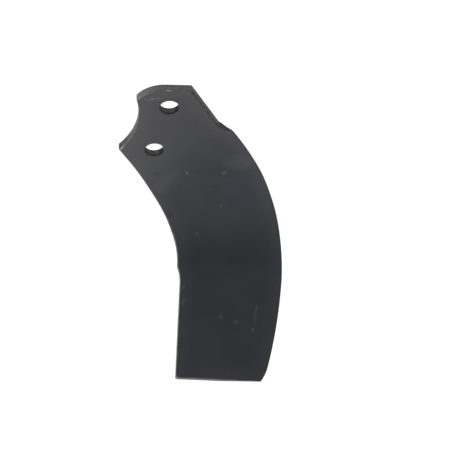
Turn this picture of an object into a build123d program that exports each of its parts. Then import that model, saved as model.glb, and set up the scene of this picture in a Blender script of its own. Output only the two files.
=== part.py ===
from build123d import *
import math
import os

# Tiller blade: one flat steel bar, bolted through its shank, swept aside and rolled up into a cutting wing.
# Lengths are in mm and angles in degrees.
# The mounting face is z = 0, the bolt holes lie on the Y axis about the origin, and the wing rises to +Z.
# The outline is drawn on the flat blank, and bent() carries each of its points onto the rolled plate.

# Bar
thickness = 7.0
bar_width = 87.6
bar_lean = 41.0  # sweep of the bar away from the line of the holes
corner_radius = 1.5
rim_break = 0.7

# Bolt holes
hole_diameter = 16.5
hole_spacing = 55.0
hole_break = 0.5

# Shank end
end_margin = 21.2  # from the outer hole to the sloping end
end_slope = 10.0
crown_radius = 28.0
crown_reach = 31.0  # from the line of the holes to the side of the crown
notch_radius = 71.0
notch_clearance = 22.0  # from the line of the holes to the bottom of the notch

# Roll of the wing
bend_start = 47.0  # from the origin down the Y axis to the start of the roll
bend_slant = 6.0
bend_radius = 80.0
bend_angle = 69.0
wing_length = 101.3  # flat part past the roll

# Concave back edge, with a small step where the roll ends
back_straight = 75.0
back_upper_radius = 175.0
back_upper_length = 35.0
back_lower_radius = 57.0
back_lower_length = 25.0
jog_depth = 3.3
jog_radius = 9.5

# Shoulder beside the shank, where the edge was rolled out
shoulder_start = 20.4
shoulder_rise = 7.7
shoulder_slope = 38.0
shoulder_inner_radius = 5.0
shoulder_outer_radius = 8.0

# Convex cutting edge, in four tangent arcs
edge_toe_out = 2.5
edge_upper_radius = 385.0
edge_upper_length = 96.0
edge_middle_radius = 154.0
edge_middle_length = 73.0
edge_lower_radius = 460.0
tip_radius = 40.0
tip_length = 26.0
tip_height = 22.3  # from the foot up to the start of the tip

# Bevel on the convex face along the cutting edge
bevel_width = 24.0
bevel_start_width = 6.0
bevel_run_out = 45.0
bevel_lead = 16.0
edge_thickness = 1.5

# Steps and margins of the trimming
trim_width = 4.0
trim_pitch = 12.0
margin = 2.0
rim_clearance = 0.3  # from a cut wall to the cutter that breaks its rims

lean = math.radians(bar_lean)
slant = math.radians(bend_slant)
roll = math.radians(bend_angle)
along_bend = Vector(math.cos(slant), math.sin(slant), 0)
down_blade = Vector(math.sin(slant), -math.cos(slant), 0)
shank_length = 2 * hole_spacing


def bent(x, y, z):
    """Place on the rolled plate of a point of the flat blank."""
    offset = Vector(x, y + bend_start, 0)
    side = offset.dot(along_bend)
    run = offset.dot(down_blade)
    turn = min(max(run / bend_radius, 0), roll)
    radius = bend_radius + thickness - z
    before = min(run, 0)
    after = max(run - bend_radius * roll, 0)
    reach = before + radius * math.sin(turn) + after * math.cos(turn)
    height = bend_radius + thickness - radius * math.cos(turn) + after * math.sin(turn)
    return Vector(0, -bend_start, height) + along_bend * side + down_blade * reach


def on_bar(distance, offset):
    """Point of the blank by distance down the bar and offset towards the cutting edge."""
    x = distance * math.sin(lean) + offset * math.cos(lean)
    y = offset * math.sin(lean) - distance * math.cos(lean)
    return x, y


def track(start, heading, runs):
    """Points with headings along runs of (length, radius): 0 is straight, over 0 turns left."""
    x, y = start
    points = [(x, y, heading)]
    for length, radius in runs:
        pitch = min(trim_pitch, abs(radius) / 5) if radius else trim_pitch
        count = max(2, math.ceil(length / pitch))
        step = length / count
        turn = step / radius if radius else 0
        chord = 2 * radius * math.sin(turn / 2) if radius else step
        for _ in range(count):
            x += chord * math.cos(heading + turn / 2)
            y += chord * math.sin(heading + turn / 2)
            heading += turn
            points.append((x, y, heading))
    return points


def swept(points, outward, profiles):
    """Solid through one section of (distance outward, height) at each point of a track."""
    sections = []
    for (x, y, heading), profile in zip(points, profiles):
        across = (-math.sin(heading) * outward, math.cos(heading) * outward)
        sections.append([bent(x + out * across[0], y + out * across[1], z) for out, z in profile])
    run = [0]
    for before, point in zip(points, points[1:]):
        run.append(run[-1] + math.dist(before[:2], point[:2]))
    shares = [length / run[-1] for length in run]
    rails = [Edge.make_spline(list(rail), parameters=shares) for rail in zip(*sections)]
    sides = [Face.make_surface_from_curves(one, other) for one, other in zip(rails, rails[1:] + rails[:1])]
    ends = [Face(Wire.make_polygon(section, close=True)) for section in (sections[0], sections[-1])]
    return Solid(Shell(sides + ends))


def trim(points, outward):
    """Narrow band that cuts the plate square to its faces along a track."""
    low, high = -margin, thickness + margin
    section = [(0, low), (0, high), (trim_width, high), (trim_width, low)]
    return swept(points, outward, [section] * len(points))


def rim_cutter(points, outward):
    """Band that stands clear of a cut wall and takes off only its two rims, at 45 degrees."""
    low, high = -margin, thickness + margin
    inner = -rim_break - margin
    section = [
        (inner, low),
        (rim_clearance, rim_break + rim_clearance),
        (rim_clearance, thickness - rim_break - rim_clearance),
        (inner, high),
        (trim_width, high),
        (trim_width, low),
    ]
    return swept(points, outward, [section] * len(points))


def rolled_plate():
    """Plate with its wing rolled up, ending square at the foot and wider than the blade."""
    right = bar_width + hole_spacing
    left = crown_reach + bar_width / 2
    lower = Line((-shank_length, 0), (0, 0))
    lower_roll = JernArc((0, 0), (1, 0), bend_radius + thickness, bend_angle)
    lower_wing = Line(lower_roll @ 1, lower_roll @ 1 + wing_length * (lower_roll % 1))
    upper = Line((-shank_length, thickness), (0, thickness))
    upper_roll = JernArc((0, thickness), (1, 0), bend_radius, bend_angle)
    upper_wing = Line(upper_roll @ 1, upper_roll @ 1 + wing_length * (upper_roll % 1))
    head = Line((-shank_length, 0), (-shank_length, thickness))
    foot = Line(lower_wing @ 1, upper_wing @ 1)
    profile = make_face([lower, lower_roll, lower_wing, foot, upper_wing, upper_roll, upper, head])
    side = Plane(Vector(0, -bend_start, 0) + along_bend * right, x_dir=down_blade, z_dir=-along_bend)
    return extrude(side * profile, right + left)


def shoulder_track():
    """Straight shank edge, then the shoulder out to the start of the cutting edge."""
    slope = math.radians(shoulder_slope)
    toe_out = math.radians(edge_toe_out)
    arcs = shoulder_inner_radius * (1 - math.cos(slope))
    arcs += shoulder_outer_radius * (math.cos(toe_out) - math.cos(slope))
    runs = [
        (shank_length + shoulder_start, 0),
        (shoulder_inner_radius * slope, shoulder_inner_radius),
        ((shoulder_rise - arcs) / math.sin(slope), 0),
        (shoulder_outer_radius * (slope - toe_out), -shoulder_outer_radius),
    ]
    return track(on_bar(-shank_length, bar_width / 2), lean - math.pi / 2, runs)


def edge_runs():
    """Four arcs of the cutting edge, and a straight run past the foot."""
    return [
        (edge_upper_length, -edge_upper_radius),
        (edge_middle_length, -edge_middle_radius),
        (wing_length - tip_height, -edge_lower_radius),
        (tip_length, -tip_radius),
        (bevel_width + trim_width, 0),
    ]


def cutting_side():
    """Whole convex side: shank edge, shoulder and cutting edge."""
    shoulder = shoulder_track()
    x, y, heading = shoulder[-1]
    return shoulder + track((x, y), heading, edge_runs())[1:]


def back_side():
    """Whole concave side: straight beside the shank, curved through the roll, straight down the wing."""
    jog = math.acos(1 - jog_depth / (2 * jog_radius))
    runs = [
        (shank_length + back_straight, 0),
        (back_upper_length, -back_upper_radius),
        (back_lower_length, -back_lower_radius),
        (jog_radius * jog, jog_radius),
        (jog_radius * jog, -jog_radius),
        (wing_length + crown_reach, 0),
    ]
    return track(on_bar(-shank_length, -bar_width / 2), lean - math.pi / 2, runs)


def foot_side():
    """Straight line across the foot of the wing."""
    foot = Vector(0, -bend_start, 0) + down_blade * (bend_radius * roll + wing_length)
    start = foot - along_bend * bar_width
    return track((start.X, start.Y), slant, [(3 * bar_width, 0)])


def trimmed_plate():
    """Rolled plate cut along both sides; the piece with the bolt holes is kept."""
    plate = rolled_plate() - trim(cutting_side(), 1)
    plate = plate.solids().sort_by_distance((0, 0, 0))[0] - trim(back_side(), -1)
    return plate.solids().sort_by_distance((0, 0, 0))[0]


def crown_outline():
    """Face of all that lies past the sloping end of the shank and its rounded corner."""
    rise = math.tan(math.radians(end_slope))
    top = hole_spacing / 2 + end_margin * math.hypot(1, rise)
    peak = (-crown_reach, top - crown_reach * rise)
    low_left = (-crown_reach, -bar_width)
    low_right = (bar_width, -bar_width)
    high_right = (bar_width, top + bar_width * rise)
    keep = make_face(Polyline(peak, low_left, low_right, high_right, close=True))
    keep = fillet(keep.vertices().sort_by_distance(peak)[0], crown_radius)
    return Pos(0, bar_width) * Rectangle(4 * bar_width, 2 * bar_width) - keep


def crown_waste():
    """Block of everything past the end of the shank."""
    return extrude(Pos(0, 0, -margin) * crown_outline(), thickness + 2 * margin)


def crown_rims():
    """Two wedges that take off the upper and the lower rim around the end of the shank."""
    wedge = extrude(crown_outline(), rim_break + margin, taper=-45)
    upper = Pos(0, 0, thickness - rim_break) * wedge
    return [upper, mirror(upper, Plane.XY.offset(thickness / 2))]


def flared(radius, rim):
    """Round cutter through the plate, flared at both faces."""
    half = thickness / 2 + margin
    mouth = radius + rim + margin
    waist = thickness / 2 - rim
    outline = [(0, -half), (mouth, -half), (radius, -waist), (radius, waist), (mouth, half), (0, half)]
    section = make_face(Polyline(*outline, close=True))
    return Pos(0, 0, thickness / 2) * revolve(Plane.XZ * section, Axis.Z)


def notch_place():
    """Centre of the shallow round recess beside the two bolts."""
    return Pos(-notch_clearance - notch_radius, 0)


def notched(plate):
    """Plate with the shallow round recess cut square through it."""
    hollow = Cylinder(notch_radius, 2 * thickness)
    return plate - notch_place() * Pos(0, 0, thickness / 2) * hollow


def meets_at_corner(edge, walls):
    """True where two cut walls meet at an angle along this edge."""
    normals = [wall.normal_at(edge.center()) for wall in walls if edge in wall.edges()]
    return len(normals) == 2 and normals[0].get_angle(normals[1]) > 10


def with_round_corners(plate):
    """Cut walls joined by small roundings where they meet."""
    broad_faces = 6
    walls = plate.faces().sort_by(SortBy.AREA)[:-broad_faces]
    corners = [edge for edge in walls.edges() if meets_at_corner(edge, walls)]
    return plate.fillet(corner_radius, corners)


def bevel():
    """Wedge that thins the convex face to the cutting edge, widening from the shoulder on."""
    x, y, heading = shoulder_track()[-1]
    start = (x - bevel_lead * math.cos(heading), y - bevel_lead * math.sin(heading))
    points = track(start, heading, [(bevel_lead, 0)] + edge_runs())
    depth = thickness - edge_thickness
    profiles = []
    run = 0
    for before, point in zip(points[:1] + points, points):
        run = min(run + math.dist(before[:2], point[:2]), bevel_run_out)
        share = (1 - math.cos(math.pi * run / bevel_run_out)) / 2
        width = bevel_start_width + (bevel_width - bevel_start_width) * share
        rise = depth / width
        below = margin / 4
        inner = (-width - below / rise, -below)
        profiles.append([inner, (trim_width, depth + trim_width * rise), (trim_width, -below)])
    return swept(points, 1, profiles)


def without_rims(plate):
    """Rims broken along both sides, the foot, the end of the shank and the notch."""
    plate -= rim_cutter(cutting_side(), 1)
    plate -= rim_cutter(back_side(), -1)
    plate -= rim_cutter(foot_side(), -1)
    for wedge in crown_rims():
        plate -= wedge
    return plate - notch_place() * flared(notch_radius, rim_break)


def bolt_holes():
    """Cutters of the two round holes, with their rims broken at both faces."""
    hole = flared(hole_diameter / 2, hole_break)
    return [Pos(0, y) * hole for y in (hole_spacing / 2, -hole_spacing / 2)]


plate = with_round_corners(notched(trimmed_plate() - crown_waste()))
blade = without_rims(plate - bevel())
for hole in bolt_holes():
    blade -= hole

os.makedirs("parts", exist_ok=True)
export_step(blade, "parts/tiller_blade.step")
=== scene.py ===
import math

import bmesh
import bpy
from mathutils import Matrix, Vector, geometry, kdtree


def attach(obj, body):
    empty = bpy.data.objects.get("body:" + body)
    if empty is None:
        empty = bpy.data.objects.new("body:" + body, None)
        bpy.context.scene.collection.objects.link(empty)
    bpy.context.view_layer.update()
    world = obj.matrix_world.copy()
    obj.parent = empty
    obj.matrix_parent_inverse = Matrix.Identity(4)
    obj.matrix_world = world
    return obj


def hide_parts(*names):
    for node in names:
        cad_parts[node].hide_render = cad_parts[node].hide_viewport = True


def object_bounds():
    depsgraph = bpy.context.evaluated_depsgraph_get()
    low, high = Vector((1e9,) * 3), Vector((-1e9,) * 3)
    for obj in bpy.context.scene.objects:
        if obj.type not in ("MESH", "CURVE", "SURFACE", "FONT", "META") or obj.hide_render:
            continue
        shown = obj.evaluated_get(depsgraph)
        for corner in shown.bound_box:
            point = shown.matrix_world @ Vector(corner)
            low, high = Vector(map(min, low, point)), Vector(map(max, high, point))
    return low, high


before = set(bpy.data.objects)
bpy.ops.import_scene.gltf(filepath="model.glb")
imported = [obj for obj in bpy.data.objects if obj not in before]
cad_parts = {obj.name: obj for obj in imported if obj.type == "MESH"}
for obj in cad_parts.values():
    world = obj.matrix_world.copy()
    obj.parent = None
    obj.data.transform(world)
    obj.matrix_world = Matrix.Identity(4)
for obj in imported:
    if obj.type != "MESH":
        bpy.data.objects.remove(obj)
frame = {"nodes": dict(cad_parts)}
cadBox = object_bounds()
mm = 0.001
print("stage 1: frame loaded,", ", ".join(frame["nodes"]))


# The blade's own sizes, in mm and degrees
bladeSizes = {
    "thickness": 7.0,
    "barWidth": 87.6,
    "barLean": 41.0,            # sweep of the bar away from the line of the holes
    "cornerRadius": 1.5,
    "rimRadius": 0.9,
    "edgeRimRadius": 0.45,      # least rim, along the thin cutting edge
    "rimShare": 0.28,           # most rim, as a share of the wall's depth
    "rimSteps": 4,              # the paint's rows below are written for four
    "holeRadius": 8.25,
    "holeBreak": 0.1,
    "holeSpacing": 55.0,
    "endMargin": 21.2,
    "endSlope": 10.0,
    "crownRadius": 28.0,
    "crownReach": 31.0,
    "crownLine": 60.0,          # place on the blank where the straight end of the crown is drawn to
    "notchRadius": 71.0,
    "notchClearance": 22.0,
    "notchSweep": 0.8,          # radians drawn to each side of the holes' middle
    "bendStart": 47.0,
    "bendSlant": 6.0,
    "bendRadius": 80.0,         # of the concave face
    "bendAngle": 69.0,
    "wingLength": 101.3,
    "footLine": (170.0, 60.0),  # the line of the foot is drawn this far to each side
    "backStraight": 75.0,
    "backFlare": (1.0, 0.35),   # mm and degrees by which the back edge opens towards the notch
    "backUpper": (35.0, 169.8),  # length and radius of the concave back edge
    "backLower": (25.0, 57.0),
    "jogDepth": 3.0,
    "jogRadii": (8.0, 36.0),    # a tight turn out, then a slow one back
    "shoulderStart": 20.4,
    "shoulderRise": 7.7,
    "shoulderSlope": 38.0,
    "shoulderInner": 5.0,
    "shoulderOuter": 8.0,
    "toeOut": 2.5,
    "edgeArcs": ((96.0, 385.0), (73.0, 154.0)),  # lengths and radii of the cutting edge
    "edgeLowerRadius": 460.0,
    "tip": (26.0, 40.0),
    "tipHeight": 22.3,
    "tipRun": 30.0,             # straight beyond the tip, up to the foot
    "bevelWidth": 24.0,
    "bevelStartWidth": 6.0,
    "bevelRunOut": 45.0,
    "bevelLead": 16.0,
    "edgeThickness": 1.5,
    "shadedBackFrom": -85.0,      # place on the blank from which the back edge's rims get painted shade
}
meshSizes = {
    "sidePitch": 1.2,           # spacing of the outline's points, in mm
    "cornerPitch": 0.4,
    "holePitch": 1.0,
    "partsPerRadius": 9,        # least number of points along one radius of a turn
    "leastGap": 0.05,
    "gridPitch": 2.4,           # spacing of the mesh rows, which run along the bend
    "gridRows": (-48, 90),
    "gridColumns": (-30, 70),
    "gridClearance": 0.45,      # share of the pitch kept free along the outline
    "fillTolerance": 1e-5,
    "mergeDistance": 0.004,
    "sharpAngle": 32.0,
}
s = bladeSizes
lean = math.radians(s["barLean"])
slant = math.radians(s["bendSlant"])
roll = math.radians(s["bendAngle"])
alongBend = Vector((math.cos(slant), math.sin(slant)))
downBlade = Vector((math.sin(slant), -math.cos(slant)))
footRun = s["bendRadius"] * roll + s["wingLength"]


# Satin black enamel, dipped over hot-rolled steel
paintLook = {
    "baseDark": "#23252b",
    "baseLight": "#33353c",
    "wall": "#5f6165",        # lighter colour on the sheared walls
    "wornRim": "#6a6967",
    "paintedShadeColour": "#131315",    # painted shade along rims, on walls and inside the holes
    # light specks, also the painted highlights and painted light among the light marks
    "speckAndHighlight": "#85868a",
    # smudges, also the painted reflection among the dark marks
    "smudgeAndReflection": "#1d1d20",
    "dust": "#4a4b4e",
    "endLightTint": "#4d4c47",        # painted light: a lighter, browner tone towards the bolted end
    "edgeDust": (16.0, 0.0, 0.0, 0.20),     # mm from the outline, share of dust
    "endPaintedLight": (-0.110, 0.005, 0.0, 0.19),  # m towards the bolted end, share of the painted light
    "endWay": (-0.6, 0.8, 0.0),             # the notch's side comes first
    "roughness": 0.38,
    "roughSpread": (0.04, 0.06),            # smoother and rougher by this much
    "gloss": 0.35,
    # gloss where the painted shade lies
    "glossInPaintedShade": 0.1,
    "refraction": 1.5,
    # noises: size in mm, detail, roughness
    "blotch": (38.0, 4.0, 0.55),     # slow unevenness of the dipped coat
    "mottle": (2.4, 3.0, 0.6),       # fine unevenness
    "markGrain": (1.4, 3.0, 0.7),
    "rubbing": (5.0, 5.0, 0.7),
    "shadePatches": (4.2, 4.0, 0.75),
    "sheen": (9.0, 4.0, 0.6),
    "waves": (24.0, 1.0, 0.5),       # slow waves of the rolled plate
    "peel": (1.6, 2.0, 0.5),         # orange peel
    "wavesHeight": 0.06,             # mm
    "peelHeight": 0.010,             # mm
    "fineShare": 0.45,               # share of the mottle against the blotch
    # ranges: from low, from high, to low, to high
    "markGrainRange": (0.30, 0.62, 0.35, 1.25),
    "rubbingRange": (0.42, 0.72, 0.05, 0.8),
    "shadePatchesRange": (0.44, 0.56, 0.05, 1.0),
    "sheenRange": (0.3, 0.7),        # its other two come from the roughness and its spread
    "markFade": (1.3, 0.25),         # from nothing to full strength, in half sizes of the mark
    "markDepth": 2.0,                # mm
    "speckSpacing": 9.0,             # mm
    "speckPick": 0.78,               # specks below this chance are left out
    "speckRange": (0.07, 0.02, 0.0, 0.16),
    # across a wall, from the concave face's rim to the hidden one's
    "wearRows": (0.0, 0.6, 1.0, 0.6, 0.1, 0.0, 0.1, 0.6, 1.0, 0.6, 0.0),
    "shadeRows": (0.2, 0.7, 1.0, 1.0, 0.4, 0.15, 0.4, 1.0, 1.0, 0.7, 0.2),
    "wallRows": range(3, 8),
    "holeShade": (0.9, 0.15, 2.2, 0.4),  # painted shade in the holes: share near the face, beyond it, slope and start to both sides
    "holeInset": 20.0,                  # mm, so that no dust of the outline reaches the holes
    # along each side: worn rim, lighter wall, painted shade on the rims, matt wall darkened with painted shade
    "sides": {
        "crown": (0.8, 0.44, 0.0, 0.0), "notch": (0.8, 0.0, 0.45, 0.6), "back": (0.3, 0.04, 0.35, 0.0),
        "wingBack": (0.0, 0.0, 0.9, 0.6), "foot": (1.0, 0.22, 0.0, 0.0), "cutting": (0.15, 0.0, 0.8, 0.35),
        "hole": (0.2, 1.0, 0.7, 0.0),
    },
    # marks on the concave face: x, y on the flat blank, half width, half length, turn, strength
    "lightMarksAndHighlights": [
        (34.8, -51.2, 1.7, 2.4, 20, 0.13), (66.6, -44.9, 2.3, 3.0, -30, 0.13),
        (72.5, -79.9, 1.6, 2.0, 0, 0.10), (56.3, -108.6, 1.8, 2.2, 40, 0.09),
        (50.6, -158.0, 1.2, 2.4, -20, 0.13), (52.2, -171.6, 1.3, 3.4, -15, 0.15),
        (87.2, -180.0, 2.4, 2.0, 0, 0.12), (101.0, -182.4, 2.6, 2.0, 25, 0.11),
        (116.8, -187.2, 1.5, 2.0, 0, 0.20), (117.2, -174.0, 1.6, 9.0, 3, 0.09),
        # from the second mark of this row to the last: painted highlights along the crown's rim, the right edge by
        # the crown and the notch's corner, and two broad faint patches of painted light near the bend
        (118.0, -167.0, 1.4, 3.0, -6, 0.14), (-5.5, 47.5, 3.0, 0.60, 11, 0.80),
        (-16.7, 35.0, 1.9, 0.7, 12, 0.55), (-20.5, 33.4, 4.0, 0.45, 5, 0.25),
        (-11.9, 36.9, 3.2, 0.5, 12, 0.25), (76.8, -29.1, 15.0, 13.0, 0, 0.06),
        (18.0, -67.0, 9.0, 17.0, -30, 0.045), (22.5, 43.0, 0.8, 2.6, 38, 0.35),
        (27.5, 36.5, 0.8, 2.4, 38, 0.30), (-27.9, -30.9, 0.6, 3.7, -24, 0.95),
    ],
    "darkMarksAndReflection": [
        (63.5, -60.9, 5.5, 2.6, 15, 0.45), (9.3, -57.3, 3.4, 2.0, 0, 0.45),
        (29.2, -94.9, 2.2, 4.0, 20, 0.40), (72.8, -47.5, 4.0, 2.0, 0, 0.35),
        (14.4, 48.3, 1.3, 1.3, 0, 0.80), (45.8, 14.4, 2.2, 1.5, -35, 0.85),
        # the first mark of this row is a painted reflection: a broad soft dark patch near the bend
        (56.0, -52.0, 20.0, 17.0, 0, 0.17), (20.5, -48.0, 5.0, 1.6, 30, 0.25),
        (-4.5, 45.6, 3.4, 0.5, 12, 0.60),
    ],
}


def onBar(distance, offset):
    x = distance * math.sin(lean) + offset * math.cos(lean)
    return Vector((x, offset * math.sin(lean) - distance * math.cos(lean)))


def followRuns(start, heading, runs):
    point = Vector(start)
    points, headings = [point.copy()], [heading]
    pitch = meshSizes["sidePitch"]
    for length, radius in runs:
        finest = min(pitch, abs(radius) / meshSizes["partsPerRadius"]) if radius else pitch
        count = max(2, math.ceil(length / finest))
        step = length / count
        turn = step / radius if radius else 0.0
        chord = 2 * radius * math.sin(turn / 2) if radius else step
        for _ in range(count):
            point += chord * Vector((math.cos(heading + turn / 2), math.sin(heading + turn / 2)))
            heading += turn
            points.append(point.copy())
            headings.append(heading)
    return points, headings


def cuttingSide():
    slope, toe = math.radians(s["shoulderSlope"]), math.radians(s["toeOut"])
    inner, outer = s["shoulderInner"], s["shoulderOuter"]
    arcs = inner * (1 - math.cos(slope)) + outer * (math.cos(toe) - math.cos(slope))
    toShoulder = 2 * s["holeSpacing"] + s["shoulderStart"]
    shoulder = [(toShoulder, 0), (inner * slope, inner), ((s["shoulderRise"] - arcs) / math.sin(slope), 0),
                (outer * (slope - toe), -outer)]
    start = onBar(-2 * s["holeSpacing"], s["barWidth"] / 2)
    first, headings = followRuns(start, lean - math.pi / 2, shoulder)
    edge = [(length, -radius) for length, radius in s["edgeArcs"]]
    edge += [(s["wingLength"] - s["tipHeight"], -s["edgeLowerRadius"]), (s["tip"][0], -s["tip"][1]),
             (s["tipRun"], 0)]
    second, _ = followRuns(first[-1], headings[-1], edge)
    lead = s["bevelLead"] * Vector((math.cos(headings[-1]), math.sin(headings[-1])))
    bevelTrack, _ = followRuns(first[-1] - lead, headings[-1], [(s["bevelLead"], 0)] + edge)
    return first + second[1:], bevelTrack


def backSide():
    sharp, slow = s["jogRadii"]
    jog = math.acos(1 - s["jogDepth"] / (sharp + slow))
    runs = [(s["crownReach"] + s["backStraight"], 0), (s["backUpper"][0], -s["backUpper"][1]),
            (s["backLower"][0], -s["backLower"][1]), (sharp * jog, sharp), (slow * jog, -slow),
            (s["wingLength"] + s["crownReach"], 0)]
    flare, opening = s["backFlare"]
    start = onBar(-s["crownReach"], -s["barWidth"] / 2 - flare)
    return followRuns(start, lean - math.pi / 2 + math.radians(opening), runs)[0]


def arc(centre, radius, start, end, pitch=meshSizes["sidePitch"]):
    count = max(6, math.ceil(abs(end - start) * radius / pitch))
    turns = [start + (end - start) * i / count for i in range(count + 1)]
    return [Vector((centre[0] + radius * math.cos(a), centre[1] + radius * math.sin(a))) for a in turns]


def straight(a, b):
    a, b = Vector(a), Vector(b)
    count = max(1, math.ceil((b - a).length / meshSizes["sidePitch"]))
    return [a.lerp(b, i / count) for i in range(count + 1)]


def meet(first, second):
    for i in range(len(first) - 1, 0, -1):
        for j in range(len(second) - 1):
            cross = geometry.intersect_line_line_2d(first[i - 1], first[i], second[j], second[j + 1])
            if cross is not None:
                return first[:i] + [cross], [cross] + second[j + 1:]
    raise ValueError("two sides of the outline don't meet")


def shorten(side, cut):
    while (side[-1] - side[-2]).length <= cut:
        cut -= (side[-1] - side[-2]).length
        side = side[:-1]
    return side[:-1] + [side[-1].lerp(side[-2], cut / (side[-1] - side[-2]).length)]


def roundCorner(first, second, radius):
    a = (first[-1] - first[-4]).normalized()
    b = (second[3] - second[0]).normalized()
    turn = a.angle_signed(b)  # over 0 turns right
    cut = radius * math.tan(abs(turn) / 2)
    first = shorten(first, cut)
    second = shorten(second[::-1], cut)[::-1]
    side = -1 if turn > 0 else 1
    centre = first[-1] + radius * side * Vector((-a.y, a.x))
    start = math.atan2(first[-1].y - centre.y, first[-1].x - centre.x)
    bow = arc(centre, radius, start, start - turn, meshSizes["cornerPitch"])
    return first, bow[1:-1], second


def bladeOutline():
    rise = math.tan(math.radians(s["endSlope"]))
    top = s["holeSpacing"] / 2 + s["endMargin"] * math.hypot(1, rise)
    reach, crown = s["crownReach"], s["crownRadius"]
    crownCentre = (crown - reach, top + (crown - reach) * rise - crown * math.hypot(1, rise))
    lift = math.atan(rise)
    crownTop = Vector(crownCentre) + crown * Vector((-math.sin(lift), math.cos(lift)))
    crownEnd = straight(crownTop, (s["crownLine"], top + s["crownLine"] * rise))
    cutting, bevelTrack = cuttingSide()
    foot = downBlade * footRun - Vector((0, s["bendStart"]))
    sides = [
        cutting,
        straight(foot + s["footLine"][0] * alongBend, foot - s["footLine"][1] * alongBend),
        backSide()[::-1],
        arc((-s["notchClearance"] - s["notchRadius"], 0), s["notchRadius"], -s["notchSweep"], s["notchSweep"]),
        arc(crownCentre, crown, math.pi, math.pi / 2 + lift) + crownEnd[1:],
    ]
    for i in range(len(sides)):
        after = (i + 1) % len(sides)
        sides[i], sides[after] = meet(sides[i], sides[after])
    bows = []
    for i in range(len(sides)):
        after = (i + 1) % len(sides)
        sides[i], bow, sides[after] = roundCorner(sides[i], sides[after], s["cornerRadius"])
        bows.append(bow)
    loop, names = [], []
    for name, side, bow in zip(("cutting", "foot", "back", "notch", "crown"), sides, bows):
        loop += side + bow
        names += ["wingBack" if name == "back" and p.y < s["shadedBackFrom"] else name for p in side]
        names += [name] * len(bow)
    kept = [i for i in range(len(loop)) if (loop[i] - loop[i - 1]).length > meshSizes["leastGap"]]
    return [loop[i] for i in kept], [names[i] for i in kept], bevelTrack


def inwardNormals(loop):
    normals = []
    for i in range(len(loop)):
        along = (loop[(i + 1) % len(loop)] - loop[i - 1]).normalized()
        normals.append(Vector((along.y, -along.x)))
    return normals


def flatTree(points):
    tree = kdtree.KDTree(len(points))
    for i, p in enumerate(points):
        tree.insert((p.x, p.y, 0), i)
    tree.balance()
    return tree


def makeBlank():
    loop, names, bevelTrack = bladeOutline()
    runs, total = [], 0.0
    for i, point in enumerate(bevelTrack):
        total += (point - bevelTrack[i - 1]).length if i else 0.0
        runs.append(total)
    tree = flatTree(bevelTrack)

    def bevelHeight(point):
        _, i, _ = tree.find((point.x, point.y, 0))
        best, run = math.inf, 0.0
        for k in (i - 1, i):
            if 0 <= k < len(bevelTrack) - 1:
                a, b = bevelTrack[k], bevelTrack[k + 1]
                t = min(max((point - a).dot(b - a) / (b - a).length_squared, 0), 1)
                d = (point - a.lerp(b, t)).length
                if d < best:
                    best, run = d, runs[k] + t * (runs[k + 1] - runs[k])
        if run <= 0.0:
            return 0.0
        share = (1 - math.cos(math.pi * min(run / s["bevelRunOut"], 1))) / 2
        width = s["bevelStartWidth"] + (s["bevelWidth"] - s["bevelStartWidth"]) * share
        return (s["thickness"] - s["edgeThickness"]) * max(0.0, 1 - best / width)

    half = s["holeSpacing"] / 2
    holes = [arc((0, y), s["holeRadius"], 0, 2 * math.pi, meshSizes["holePitch"])[:-1] for y in (half, -half)]
    outlines = [(loop, names, None)] + [(hole, ["hole"] * len(hole), s["holeBreak"]) for hole in holes]
    bm = bmesh.new()
    layers = {name: bm.verts.layers.float.new(name) for name in ("rim", "wall", "inset", "shade", "matt")}
    turns = [math.radians(90 / s["rimSteps"] * step) for step in range(s["rimSteps"] + 1)]
    look, middle = paintLook, len(turns)
    caps = {"front": [], "back": []}
    for number, (points, sideNames, fixed) in enumerate(outlines):
        columns = []
        for i, (point, normal) in enumerate(zip(points, inwardNormals(points))):
            low = bevelHeight(point) if number == 0 else 0.0
            wall = s["thickness"] - low
            rim = fixed or max(s["edgeRimRadius"], min(s["rimRadius"], s["rimShare"] * wall))
            column = []
            for a in turns:  # front rim, from the face round to the wall
                spot = point + normal * rim * (1 - math.sin(a))
                column.append((spot, s["thickness"] - rim * (1 - math.cos(a))))
            column.append((point, (s["thickness"] + low) / 2))
            for a in reversed(turns):
                spot = point + normal * rim * (1 - math.sin(a))
                column.append((spot, bevelHeight(spot) * (number == 0) + rim * (1 - math.cos(a))))
            columns.append([bm.verts.new((p.x, p.y, z)) for p, z in column])
            wear, coat, shade, matt = look["sides"][sideNames[i]]
            for k, v in enumerate(columns[-1]):
                v[layers["rim"]] = wear * look["wearRows"][k]
                v[layers["wall"]] = coat if k in look["wallRows"] else 0.0
                v[layers["shade"]] = shade * look["shadeRows"][k]
                if number:  # in the holes, painted shade, darker towards the face and to both sides
                    near, far, slope, start = look["holeShade"]
                    sideways = slope * (abs(point.x) / s["holeRadius"] - start)
                    matt = max(near if k < middle else far, min(1.0, sideways))
                v[layers["matt"]] = matt if k in look["wallRows"] else 0.0
                v[layers["inset"]] = look["holeInset"] if number else 0.0
            caps["front"].append((number, column[0][0]))
            caps["back"].append((number, column[-1][0]))
        for i in range(len(columns)):
            a, b = columns[i - 1], columns[i]
            for k in range(len(a) - 1):
                bm.faces.new((a[k], a[k + 1], b[k + 1], b[k]))
    for cap, level in (("front", s["thickness"]), ("back", None)):
        loops = [[p for n, p in caps[cap] if n == number] for number in range(len(outlines))]
        fillCap(bm, loops, bevelHeight, level, layers["inset"])
    bmesh.ops.remove_doubles(bm, verts=bm.verts, dist=meshSizes["mergeDistance"])
    bmesh.ops.recalc_face_normals(bm, faces=bm.faces)
    mesh = bpy.data.meshes.new("tillerBlank")
    for v in bm.verts:
        v.co = v.co * mm
    bm.to_mesh(mesh)
    bm.free()
    return mesh


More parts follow.
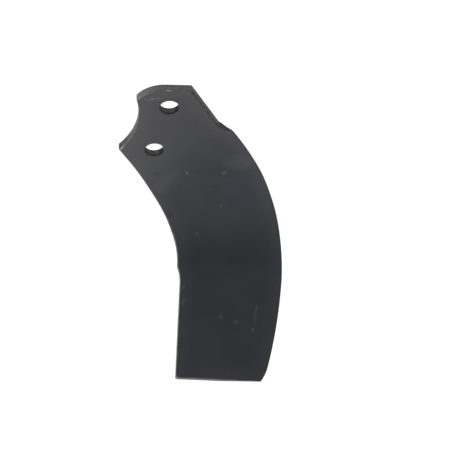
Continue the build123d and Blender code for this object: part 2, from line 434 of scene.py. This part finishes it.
def fillCap(bm, loops, bevelHeight, level, insetLayer):  # without a level, the cap follows the bevel
    spots, edges = [], []
    for points in loops:
        first = len(spots)
        spots += points
        edges += [(first + i, first + (i + 1) % len(points)) for i in range(len(points))]
    fence, outer = flatTree(spots), flatTree(loops[0])
    pitch = meshSizes["gridPitch"]
    corner = Vector((0, -s["bendStart"]))
    inner = []
    for row in range(*meshSizes["gridRows"]):
        for column in range(*meshSizes["gridColumns"]):
            p = corner + downBlade * pitch * row + alongBend * pitch * (column + 0.5 * (row % 2))
            if fence.find((p.x, p.y, 0))[2] > meshSizes["gridClearance"] * pitch and onPlate(p, loops):
                inner.append(p)
    spots += inner
    tolerance = meshSizes["fillTolerance"]
    flat, _, triangles, *_ = geometry.delaunay_2d_cdt([Vector(p) for p in spots], edges, [], 0, tolerance)
    verts = [bm.verts.new((p.x, p.y, bevelHeight(p) if level is None else level)) for p in flat]
    for v in verts:
        v[insetLayer] = outer.find((v.co.x, v.co.y, 0))[2]
    for triangle in triangles:
        if onPlate(sum((flat[i] for i in triangle), Vector((0, 0))) / 3, loops):
            bm.faces.new([verts[i] for i in triangle])
    for v in verts:
        if not v.link_faces:
            bm.verts.remove(v)


def onPlate(p, loops):
    return inside(p, loops[0]) and not any(inside(p, hole) for hole in loops[1:])


def inside(p, loop):
    odd = False
    for i in range(len(loop)):
        a, b = loop[i - 1], loop[i]
        if (a.y > p.y) != (b.y > p.y) and p.x < (b.x - a.x) * (p.y - a.y) / (b.y - a.y) + a.x:
            odd = not odd
    return odd


blankMesh = makeBlank()
print("stage 2: flat blank,", len(blankMesh.polygons), "faces")


def addNode(tree, kind, inputs=None, **settings):
    node = tree.nodes.new(kind)
    for name, value in settings.items():
        setattr(node, name, value)
    for key, value in (inputs or {}).items():
        if isinstance(value, bpy.types.Node):
            value = next(o for o in value.outputs if o.enabled)
        if isinstance(value, bpy.types.NodeSocket):
            tree.links.new(value, node.inputs[key])
        else:
            node.inputs[key].default_value = value
    return node


def srgb(code):  # a hex colour as the linear numbers that Blender's sockets take
    parts = [int(code[i:i + 2], 16) / 255 for i in (1, 3, 5)]
    return [p / 12.92 if p <= 0.04045 else ((p + 0.055) / 1.055) ** 2.4 for p in parts] + [1.0]


def blackEnamel():
    look = paintLook
    material = bpy.data.materials.new("blackEnamelOnHotRolledSteel")
    material.use_nodes = True
    tree = material.node_tree
    tree.nodes.clear()
    place = addNode(tree, "ShaderNodeAttribute", attribute_name="blank").outputs["Vector"]
    rim, wall, inset, shade, matt = [
        addNode(tree, "ShaderNodeAttribute", attribute_name=name).outputs["Fac"]
        for name in ("rim", "wall", "inset", "shade", "matt")]

    def noise(name):
        size, detail, rough = look[name]
        return addNode(tree, "ShaderNodeTexNoise", {
            "Vector": place, "Scale": 1 / (size * mm), "Detail": detail, "Roughness": rough})

    def tint(colour, share, code):
        return addNode(tree, "ShaderNodeMix", {0: share, 6: colour, 7: srgb(code)}, data_type="RGBA")

    def calc(kind, a, b, **more):
        return addNode(tree, "ShaderNodeMath", {0: a, 1: b}, operation=kind, **more)

    def remap(value, limits, **more):
        sockets = {0: value, **{i + 1: limit for i, limit in enumerate(limits)}}
        return addNode(tree, "ShaderNodeMapRange", sockets, **more)

    def marks(spots):
        total = 0.0
        for x, y, wide, high, turn, strength in spots:
            moved = addNode(tree, "ShaderNodeMapping", {
                "Vector": place, "Location": (x * mm, y * mm, s["thickness"] * mm),
                "Rotation": (0, 0, math.radians(turn)),
                "Scale": (wide * mm, high * mm, look["markDepth"] * mm)}, vector_type="TEXTURE")
            far = addNode(tree, "ShaderNodeVectorMath", {0: moved}, operation="LENGTH").outputs["Value"]
            blot = remap(far, (*look["markFade"], 0.0, strength), interpolation_type="SMOOTHSTEP")
            total = calc("MAXIMUM", total, blot)
        grain = remap(noise("markGrain"), look["markGrainRange"])
        return calc("MULTIPLY", total, grain, use_clamp=True)

    uneven = addNode(tree, "ShaderNodeMix", {0: look["fineShare"], 2: noise("blotch"), 3: noise("mottle")},
                     data_type="FLOAT")
    colour = addNode(tree, "ShaderNodeMix", {0: uneven, 6: srgb(look["baseDark"]), 7: srgb(look["baseLight"])},
                     data_type="RGBA")
    nearEdge = remap(inset, look["edgeDust"], interpolation_type="SMOOTHSTEP")
    colour = tint(colour, nearEdge, look["dust"])
    # painted light: a lighter, browner tone towards the bolted end
    along = addNode(tree, "ShaderNodeVectorMath", {0: place, 1: look["endWay"]}, operation="DOT_PRODUCT")
    endLightShare = remap(along.outputs["Value"], look["endPaintedLight"], interpolation_type="SMOOTHSTEP")
    colour = tint(colour, endLightShare, look["endLightTint"])
    colour = tint(colour, wall, look["wall"])
    # dark marks: smudges, and one broad painted reflection near the bend
    colour = tint(colour, marks(look["darkMarksAndReflection"]), look["smudgeAndReflection"])
    wear = calc("MULTIPLY", remap(noise("rubbing"), look["rubbingRange"]), rim, use_clamp=True)
    colour = tint(colour, wear, look["wornRim"])
    cells = addNode(tree, "ShaderNodeTexVoronoi", {
        "Vector": place, "Scale": 1 / (look["speckSpacing"] * mm), "Randomness": 1.0}, feature="F1")
    chance = addNode(tree, "ShaderNodeSeparateColor", {0: cells.outputs["Color"]})
    dot = remap(cells.outputs["Distance"], look["speckRange"])
    specks = calc("MULTIPLY", calc("GREATER_THAN", chance, look["speckPick"]), dot)
    colour = tint(colour, specks, look["speckAndHighlight"])
    # painted shade: patches along the rims, and whole matt walls and hole walls
    paintedShade = calc("MULTIPLY", remap(noise("shadePatches"), look["shadePatchesRange"]), shade, use_clamp=True)
    paintedShade = calc("MAXIMUM", paintedShade, matt)
    colour = tint(colour, paintedShade, look["paintedShadeColour"])
    colour = tint(colour, marks(look["lightMarksAndHighlights"]), look["speckAndHighlight"])  # specks, scratches and painted highlights, over the painted shade
    gloss = remap(paintedShade, (0.0, 1.0, look["gloss"], look["glossInPaintedShade"]))
    smoother, rougher = look["roughSpread"]
    rough = remap(noise("sheen"), (*look["sheenRange"], look["roughness"] - smoother, look["roughness"] + rougher))
    waves = addNode(tree, "ShaderNodeBump", {
        "Height": noise("waves"), "Distance": look["wavesHeight"] * mm, "Strength": 1.0})
    peel = addNode(tree, "ShaderNodeBump", {
        "Height": noise("peel"), "Distance": look["peelHeight"] * mm, "Strength": 1.0, "Normal": waves})
    shader = addNode(tree, "ShaderNodeBsdfPrincipled", {
        "Base Color": colour, "Roughness": rough, "IOR": look["refraction"], "Specular IOR Level": gloss,
        "Normal": peel})
    addNode(tree, "ShaderNodeOutputMaterial", {"Surface": shader})
    return material


def rollTree(material):
    tree = bpy.data.node_groups.new("rollUpTheWing", "GeometryNodeTree")
    panel = tree.interface
    panel.new_socket("Geometry", in_out="INPUT", socket_type="NodeSocketGeometry")
    for name in ("Bend start", "Bend slant", "Bend radius", "Bend angle", "Plate thickness"):
        panel.new_socket(name, in_out="INPUT", socket_type="NodeSocketFloat")
    panel.new_socket("Geometry", in_out="OUTPUT", socket_type="NodeSocketGeometry")
    given = addNode(tree, "NodeGroupInput")
    flat, start, tilt, radius, angle, plate = [given.outputs[i] for i in range(6)]

    def calc(kind, a, b=0.0):
        return addNode(tree, "ShaderNodeMath", {0: a, 1: b}, operation=kind)

    position = addNode(tree, "GeometryNodeInputPosition")
    blankX, blankY, height = addNode(tree, "ShaderNodeSeparateXYZ", {0: position}).outputs
    cosine, sine = calc("COSINE", tilt), calc("SINE", tilt)
    y = calc("ADD", blankY, start)
    side = calc("ADD", calc("MULTIPLY", blankX, cosine), calc("MULTIPLY", y, sine))
    run = calc("SUBTRACT", calc("MULTIPLY", blankX, sine), calc("MULTIPLY", y, cosine))
    turn = calc("MINIMUM", calc("MAXIMUM", calc("DIVIDE", run, radius), 0.0), angle)
    outer = calc("ADD", radius, plate)
    reachRadius = calc("SUBTRACT", outer, height)
    before = calc("MINIMUM", run, 0.0)
    after = calc("MAXIMUM", calc("SUBTRACT", run, calc("MULTIPLY", radius, angle)), 0.0)
    turnCos, turnSin = calc("COSINE", turn), calc("SINE", turn)
    beyond = calc("ADD", calc("MULTIPLY", reachRadius, turnSin), calc("MULTIPLY", after, turnCos))
    reach = calc("ADD", before, beyond)
    lifted = calc("SUBTRACT", outer, calc("MULTIPLY", reachRadius, turnCos))
    rise = calc("ADD", lifted, calc("MULTIPLY", after, turnSin))
    newX = calc("ADD", calc("MULTIPLY", side, cosine), calc("MULTIPLY", reach, sine))
    across = calc("SUBTRACT", calc("MULTIPLY", side, sine), calc("MULTIPLY", reach, cosine))
    rolled = addNode(tree, "ShaderNodeCombineXYZ", {0: newX, 1: calc("SUBTRACT", across, start), 2: rise})
    kept = addNode(tree, "GeometryNodeStoreNamedAttribute", {
        "Geometry": flat, "Name": "blank", "Value": position}, data_type="FLOAT_VECTOR", domain="POINT")
    bent = addNode(tree, "GeometryNodeSetPosition", {"Geometry": kept, "Position": rolled})
    real = addNode(tree, "GeometryNodeRealizeInstances", {0: bent})
    coat = addNode(tree, "GeometryNodeSetMaterial", {"Geometry": real, "Material": material})
    addNode(tree, "NodeGroupOutput", {0: coat})
    return tree


def rolledBlade(mesh, material):
    raw = bpy.data.objects.new("rawBlank", mesh)
    bpy.context.scene.collection.objects.link(raw)
    tree = rollTree(material)
    modifier = raw.modifiers.new("rollUpTheWing", "NODES")
    modifier.node_group = tree
    values = {"Bend start": s["bendStart"] * mm, "Bend slant": slant, "Bend radius": s["bendRadius"] * mm,
              "Bend angle": roll, "Plate thickness": s["thickness"] * mm}
    for item in tree.interface.items_tree:
        if item.in_out == "INPUT" and item.name in values:
            modifier[item.identifier] = values[item.name]
    graph = bpy.context.evaluated_depsgraph_get()
    bent = raw.evaluated_get(graph)
    done = bpy.data.meshes.new_from_object(bent, preserve_all_data_layers=True, depsgraph=graph)
    bpy.data.objects.remove(raw)
    done.name = "tillerBladeFinished"
    done.shade_smooth()
    done.set_sharp_from_angle(angle=math.radians(meshSizes["sharpAngle"]))
    blade = bpy.data.objects.new("bladeSteel", done)
    bpy.context.scene.collection.objects.link(blade)
    return blade


blade = rolledBlade(blankMesh, blackEnamel())
bladeSpan = [round(v / mm, 1) for v in blade.dimensions]
print("stage 3: rolled blade,", len(blade.data.polygons), "faces, size mm", bladeSpan)
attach(blade, "root")
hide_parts("tiller_blade")


# Floor, lamps and camera
studio = {
    "floorColour": "#f4f4f2",
    "floorSize": 30.0,
    "floorGap": 0.0004,         # m under the blade
    "floorGlow": 1.06,
    "floorMirrored": 0.45,      # how much of the glow the enamel mirrors
    "brightSide": (0.236, -0.751, 0.617),  # the bright end of the studio, which the shank mirrors
    "levels": ((0.0, 0.20), (0.17, 0.20), (0.345, 0.26), (0.45, 0.38), (0.52, 0.46), (0.75, 0.42),
               (0.90, 0.34), (1.0, 0.80)),
    "lampColour": (1.0, 0.965, 0.925),
    "lampAim": (0.06, -0.08, 0.05),
    "keyPower": 36.0,
    "keyPlace": (-0.93, -0.45, 1.08),
    "keySize": 1.0,
    "fillPower": 2.0,
    "fillPlace": (1.2, 0.2, 0.9),
    "fillSize": 1.2,
    "cameraPlace": (-0.27658, 1.04460, 0.96176),
    "cameraRight": (0.96405, 0.26082, 0.05078),
    "cameraUp": (-0.12280, 0.60682, -0.78529),
    "sensor": 36.0,
    "lensInWidths": 1700 / 452,  # focal length over the picture's width
}


def seenDirectly(tree, path):
    return addNode(tree, "ShaderNodeMath", {
        0: path.outputs["Is Camera Ray"], 1: path.outputs["Is Transmission Ray"]}, operation="MAXIMUM")


def makeFloor():
    bpy.ops.mesh.primitive_plane_add(size=studio["floorSize"])
    floor = bpy.context.object
    floor.name = "paleFloor"
    floor.location.z = cadBox[0].z - studio["floorGap"]
    material = bpy.data.materials.new("matPaleFloor")
    material.use_nodes = True
    tree = material.node_tree
    tree.nodes.clear()
    path = addNode(tree, "ShaderNodeLightPath")
    mirrored = addNode(tree, "ShaderNodeMath", {0: path.outputs["Is Glossy Ray"], 1: studio["floorMirrored"]},
                       operation="MULTIPLY")
    share = addNode(tree, "ShaderNodeMath", {0: seenDirectly(tree, path), 1: mirrored}, operation="MAXIMUM")
    matt = addNode(tree, "ShaderNodeBsdfDiffuse", {"Color": srgb(studio["floorColour"])})
    glow = addNode(tree, "ShaderNodeEmission", {"Color": (1, 1, 1, 1), "Strength": studio["floorGlow"]})
    both = addNode(tree, "ShaderNodeMixShader", {0: share, 1: matt, 2: glow})
    addNode(tree, "ShaderNodeOutputMaterial", {"Surface": both})
    floor.data.materials.append(material)


def makeWorld():
    world = bpy.data.worlds.new("softStudio")
    bpy.context.scene.world = world
    world.use_nodes = True
    tree = world.node_tree
    tree.nodes.clear()
    way = addNode(tree, "ShaderNodeTexCoord").outputs["Generated"]
    towards = addNode(tree, "ShaderNodeVectorMath", {0: way, 1: studio["brightSide"]}, operation="DOT_PRODUCT")
    share = addNode(tree, "ShaderNodeMapRange", {0: towards.outputs["Value"], 1: -1.0, 2: 1.0})
    level = addNode(tree, "ShaderNodeValToRGB", {0: share})
    ramp = level.color_ramp
    ramp.interpolation = "EASE"
    while len(ramp.elements) < len(studio["levels"]):
        ramp.elements.new(0.5)
    for element, (place, grey) in zip(ramp.elements, studio["levels"]):
        element.position = place
        element.color = (grey, grey, grey, 1)
    seen = seenDirectly(tree, addNode(tree, "ShaderNodeLightPath"))
    strength = addNode(tree, "ShaderNodeMix", {0: seen, 2: level, 3: 1.0}, data_type="FLOAT")
    sky = addNode(tree, "ShaderNodeBackground", {"Color": (1, 1, 1, 1), "Strength": strength})
    addNode(tree, "ShaderNodeOutputWorld", {"Surface": sky})


def makeLamp(name, place, size, power):
    lamp = bpy.data.lights.new(name, "AREA")
    lamp.color = studio["lampColour"]
    lamp.shape = "SQUARE"
    lamp.size = size
    lamp.energy = power
    holder = bpy.data.objects.new(name, lamp)
    bpy.context.scene.collection.objects.link(holder)
    holder.location = place
    aim = Vector(studio["lampAim"]) - Vector(place)
    holder.rotation_euler = aim.to_track_quat("-Z", "Y").to_euler()


def makeCamera():
    camera = bpy.data.cameras.new("photoCamera")
    camera.lens = studio["lensInWidths"] * studio["sensor"]
    camera.sensor_width = studio["sensor"]
    holder = bpy.data.objects.new("photoCamera", camera)
    bpy.context.scene.collection.objects.link(holder)
    right, up = Vector(studio["cameraRight"]), Vector(studio["cameraUp"])
    turn = Matrix((right, up, right.cross(up))).transposed()
    holder.matrix_world = Matrix.Translation(studio["cameraPlace"]) @ turn.to_4x4()
    bpy.context.scene.camera = holder


makeFloor()
makeWorld()
makeLamp("keySoftbox", studio["keyPlace"], studio["keySize"], studio["keyPower"])
makeLamp("fillSoftbox", studio["fillPlace"], studio["fillSize"], studio["fillPower"])
makeCamera()
bpy.context.scene.view_settings.view_transform = "Standard"
print("stage 4: floor, lamps and camera")
